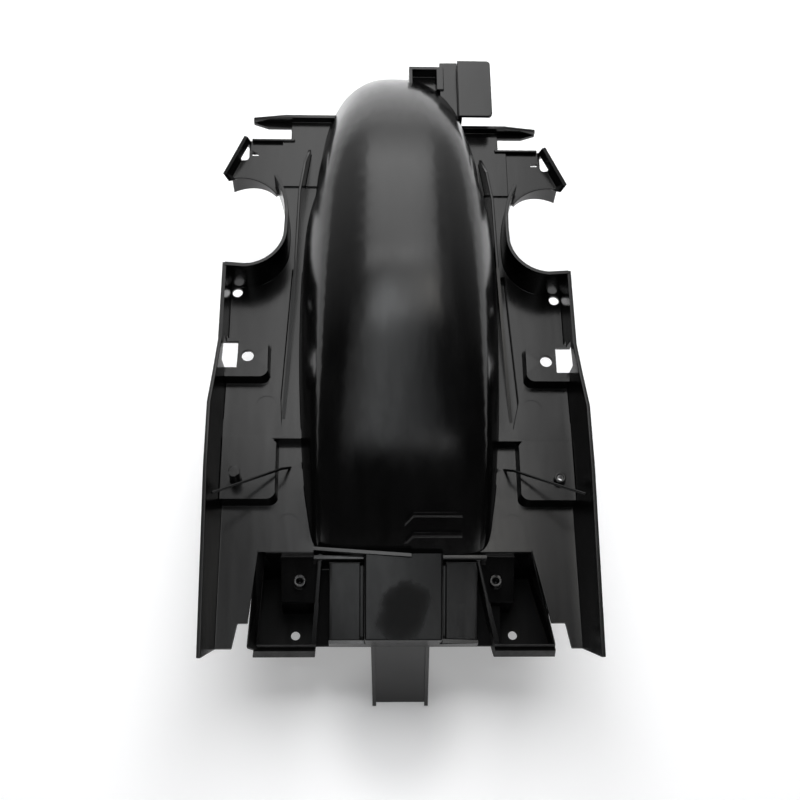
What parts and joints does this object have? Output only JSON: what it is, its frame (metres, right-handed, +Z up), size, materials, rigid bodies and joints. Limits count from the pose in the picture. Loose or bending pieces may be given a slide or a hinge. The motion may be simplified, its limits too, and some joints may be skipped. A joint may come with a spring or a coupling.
{
  "type": "motorcycle rear mudguard",
  "caption": "Black moulded rear mudguard with a wheel arch, flat decks between raised side walls, shock absorber cut-outs, fixing pads, rear pockets and a tail tongue.",
  "frame": {"origin": "middle of the bounding box, on the surface the part rests on", "axes": "+Y towards the front of the machine, +X to the right seen from behind, +Z up, square to the decks"},
  "size_m": [0.248, 0.5095, 0.1919],
  "materials": {
    "body": "semi-gloss black moulded polypropylene"
  },
  "bodies": {
    "root": {"rear_mudguard": "body"}
  },
  "joints": []
}
